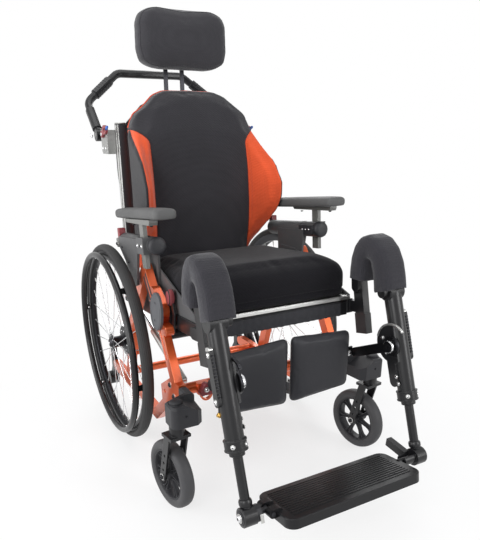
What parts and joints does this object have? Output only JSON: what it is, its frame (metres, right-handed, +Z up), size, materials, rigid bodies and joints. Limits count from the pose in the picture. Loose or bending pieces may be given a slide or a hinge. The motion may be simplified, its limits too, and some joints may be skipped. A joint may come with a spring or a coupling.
{
  "type": "tilt in space wheelchair",
  "caption": "Attendant-pushed comfort wheelchair: spoked rear wheels, front casters, tilting seat, reclining winged back, head support, height-adjustable arms and raising leg supports",
  "frame": {"origin": "on the floor below the middle of the chair's bounding box", "axes": "+Z up, the chair faces -Y, +X is the sitter's left hand"},
  "size_m": [0.679, 1.2091, 1.235],
  "materials": {
    "tyre": "matte tread rubber",
    "caster_tyre": "solid rubber on a plastic rim",
    "rim_metal": "dark anodised",
    "silver_metal": "satin anodised",
    "rod_metal": "polished",
    "orange_metal": "metallic orange lacquer",
    "black_metal": "black powder coat",
    "dark_metal": "satin dark anodised",
    "dark_plastic": "fine moulded grain",
    "maroon_plastic": "moulded",
    "arm_foam": "grained foam skin",
    "charcoal_cloth": "woven stretch cloth, orange side panels and piping",
    "black_cloth": "plain knitted cloth",
    "black_vinyl": "smooth coated cloth",
    "cable_rubber": "cable sheath"
  },
  "bodies": {
    "base": {"side_frame_left": "orange_metal", "side_frame_right": "orange_metal", "front_cross_tube": "orange_metal", "mid_cross_tube": "black_metal", "rear_cross_tube": "orange_metal", "clamp_knob": "maroon_plastic", "anti_tipper_left": "black_metal", "anti_tipper_right": "black_metal", "caster_housing_left": "dark_plastic", "caster_housing_right": "dark_plastic", "pivot_cover_left": "orange_metal", "pivot_cover_right": "orange_metal"},
    "seat": {"seat_frame": "black_metal", "seat_pan": "silver_metal", "seat_cushion": "charcoal_cloth", "side_guard_left": "dark_plastic", "side_guard_right": "dark_plastic", "arm_housing_left": "dark_plastic", "arm_housing_right": "dark_plastic", "knee_pad_left": "charcoal_cloth", "knee_pad_right": "charcoal_cloth"},
    "spring_body": {"tilt_cylinder": "silver_metal"},
    "spring_rod": {"tilt_rod": "rod_metal"},
    "back": {"back_frame": "black_metal", "back_shell": "dark_plastic", "back_cushion": "charcoal_cloth", "push_clamp_left": "dark_plastic", "push_clamp_right": "dark_plastic", "release_cable": "cable_rubber"},
    "head_bars": {"headrest_bracket": "silver_metal"},
    "head_pad": {"headrest_pad": "black_cloth"},
    "push_bar": {"push_bar": "black_metal"},
    "foot_hub": {"foot_hub": "dark_metal"},
    "foot_plate": {"footplate": "dark_plastic"},
    "wheel_left": {"rear_tyre_left": "tyre", "rear_wheel_left": "rim_metal", "hand_rim_left": "silver_metal"},
    "fork_left": {"caster_fork_left": "black_metal"},
    "caster_left": {"caster_wheel_left": "caster_tyre"},
    "brake_left": {"brake_lever_left": "black_metal"},
    "arm_left": {"arm_post_left": "silver_metal", "arm_pad_left": "arm_foam"},
    "lever_left": {"release_lever_left": "maroon_plastic"},
    "leg_left": {"leg_tube_left": "black_metal"},
    "leg_slide_left": {"leg_extension_left": "black_metal"},
    "calf_left": {"calf_bracket_left": "dark_metal", "calf_pad_left": "black_vinyl"},
    "wheel_right": {"rear_tyre_right": "tyre", "rear_wheel_right": "rim_metal", "hand_rim_right": "silver_metal"},
    "fork_right": {"caster_fork_right": "black_metal"},
    "caster_right": {"caster_wheel_right": "caster_tyre"},
    "brake_right": {"brake_lever_right": "black_metal"},
    "arm_right": {"arm_post_right": "silver_metal", "arm_pad_right": "arm_foam"},
    "lever_right": {"release_lever_right": "maroon_plastic"},
    "leg_right": {"leg_tube_right": "black_metal"},
    "leg_slide_right": {"leg_extension_right": "black_metal"},
    "calf_right": {"calf_bracket_right": "dark_metal", "calf_pad_right": "black_vinyl"}
  },
  "joints": [
    {"name": "rear_wheel_turn_left", "type": "hinge", "parent": "base", "child": "wheel_left", "pos_m": [0.3, 0.2, 0.3], "axis": [1, 0, 0], "continuous": true},
    {"name": "caster_swivel_left", "type": "hinge", "parent": "base", "child": "fork_left", "pos_m": [0.301, -0.284, 0.26], "axis": [0, 0, 1], "continuous": true},
    {"name": "caster_turn_left", "type": "hinge", "parent": "fork_left", "child": "caster_left", "pos_m": [0.29585, -0.24736, 0.09], "axis": [0.9903, 0.1392, 0], "continuous": true},
    {"name": "brake_lever_left", "type": "hinge", "parent": "base", "child": "brake_left", "pos_m": [0.2365, -0.128, 0.428], "axis": [1, 0, 0], "range_deg": [0, 30]},
    {"name": "rear_wheel_turn_right", "type": "hinge", "parent": "base", "child": "wheel_right", "pos_m": [-0.3, 0.2, 0.3], "axis": [1, 0, 0], "continuous": true},
    {"name": "caster_swivel_right", "type": "hinge", "parent": "base", "child": "fork_right", "pos_m": [-0.301, -0.284, 0.26], "axis": [0, 0, 1], "continuous": true},
    {"name": "caster_turn_right", "type": "hinge", "parent": "fork_right", "child": "caster_right", "pos_m": [-0.30615, -0.24736, 0.09], "axis": [0.9903, 0.1392, 0], "continuous": true},
    {"name": "brake_lever_right", "type": "hinge", "parent": "base", "child": "brake_right", "pos_m": [-0.2365, -0.128, 0.428], "axis": [1, 0, 0], "range_deg": [0, 30]},
    {"name": "seat_tilt", "type": "hinge", "parent": "base", "child": "seat", "pos_m": [0, -0.09, 0.475], "axis": [-1, 0, 0], "range_deg": [-4, 20]},
    {"name": "spring_swing", "type": "hinge", "parent": "base", "child": "spring_body", "pos_m": [-0.203, -0.098, 0.267], "axis": [-1, 0, 0], "range_deg": [-6, 20]},
    {"name": "spring_stroke", "type": "slide", "parent": "spring_body", "child": "spring_rod", "axis": [0, -0.947, -0.3211], "range_m": [-0.02, 0.08]},
    {"name": "back_recline", "type": "hinge", "parent": "seat", "child": "back", "pos_m": [0, 0.2911, 0.4172], "axis": [-1, 0, 0], "range_deg": [0, 30]},
    {"name": "head_height", "type": "slide", "parent": "back", "child": "head_bars", "axis": [0, 0, 1], "range_m": [-0.04, 0.06]},
    {"name": "head_angle", "type": "hinge", "parent": "head_bars", "child": "head_pad", "pos_m": [0, 0.36, 1.15], "axis": [1, 0, 0], "range_deg": [-15, 15]},
    {"name": "push_bar_angle", "type": "hinge", "parent": "back", "child": "push_bar", "pos_m": [0, 0.452, 0.9], "axis": [1, 0, 0], "range_deg": [-60, 25]},
    {"name": "release_lever_left", "type": "hinge", "parent": "back", "child": "lever_left", "pos_m": [0.2415, 0.366, 0.902], "axis": [1, 0, 0], "range_deg": [0, 30]},
    {"name": "arm_height_left", "type": "slide", "parent": "seat", "child": "arm_left", "axis": [0, 0.0958, 0.9954], "range_m": [-0.03, 0.05]},
    {"name": "release_lever_right", "type": "hinge", "parent": "back", "child": "lever_right", "pos_m": [-0.2415, 0.366, 0.902], "axis": [1, 0, 0], "range_deg": [0, 30]},
    {"name": "arm_height_right", "type": "slide", "parent": "seat", "child": "arm_right", "axis": [0, 0.0958, 0.9954], "range_m": [-0.03, 0.05]},
    {"name": "leg_raise_right", "type": "hinge", "parent": "seat", "child": "leg_right", "pos_m": [-0.245, -0.394, 0.528], "axis": [-1, 0, 0], "range_deg": [0, 45]},
    {"name": "leg_length_right", "type": "slide", "parent": "leg_right", "child": "leg_slide_right", "axis": [0, -0.3289, -0.9444], "range_m": [-0.05, 0.05]},
    {"name": "calf_angle_right", "type": "hinge", "parent": "leg_right", "child": "calf_right", "pos_m": [-0.22, -0.43807, 0.40145], "axis": [1, 0, 0], "range_deg": [-10, 15]},
    {"name": "leg_raise_left", "type": "hinge", "parent": "seat", "child": "leg_left", "pos_m": [0.245, -0.394, 0.528], "axis": [-1, 0, 0], "range_deg": [0, 45]},
    {"name": "leg_length_left", "type": "slide", "parent": "leg_left", "child": "leg_slide_left", "axis": [0, -0.3289, -0.9444], "range_m": [-0.05, 0.05]},
    {"name": "calf_angle_left", "type": "hinge", "parent": "leg_left", "child": "calf_left", "pos_m": [0.22, -0.43807, 0.40145], "axis": [1, 0, 0], "range_deg": [-10, 15]},
    {"name": "foot_angle", "type": "hinge", "parent": "leg_slide_right", "child": "foot_hub", "pos_m": [-0.245, -0.53226, 0.13098], "axis": [1, 0, 0], "range_deg": [-10, 10]},
    {"name": "foot_flip", "type": "hinge", "parent": "foot_hub", "child": "foot_plate", "pos_m": [-0.197, -0.53226, 0.13098], "axis": [0, -0.9871, 0.1599], "range_deg": [0, 90]}
  ],
  "couplings": [
    {"joint": "spring_swing", "follows": "seat_tilt", "ratio": 0.868},
    {"joint": "spring_stroke", "follows": "seat_tilt", "m_per_rad": 0.2025},
    {"joint": "leg_raise_left", "follows": "leg_raise_right", "ratio": 1},
    {"joint": "leg_length_left", "follows": "leg_length_right", "ratio": 1}
  ]
}
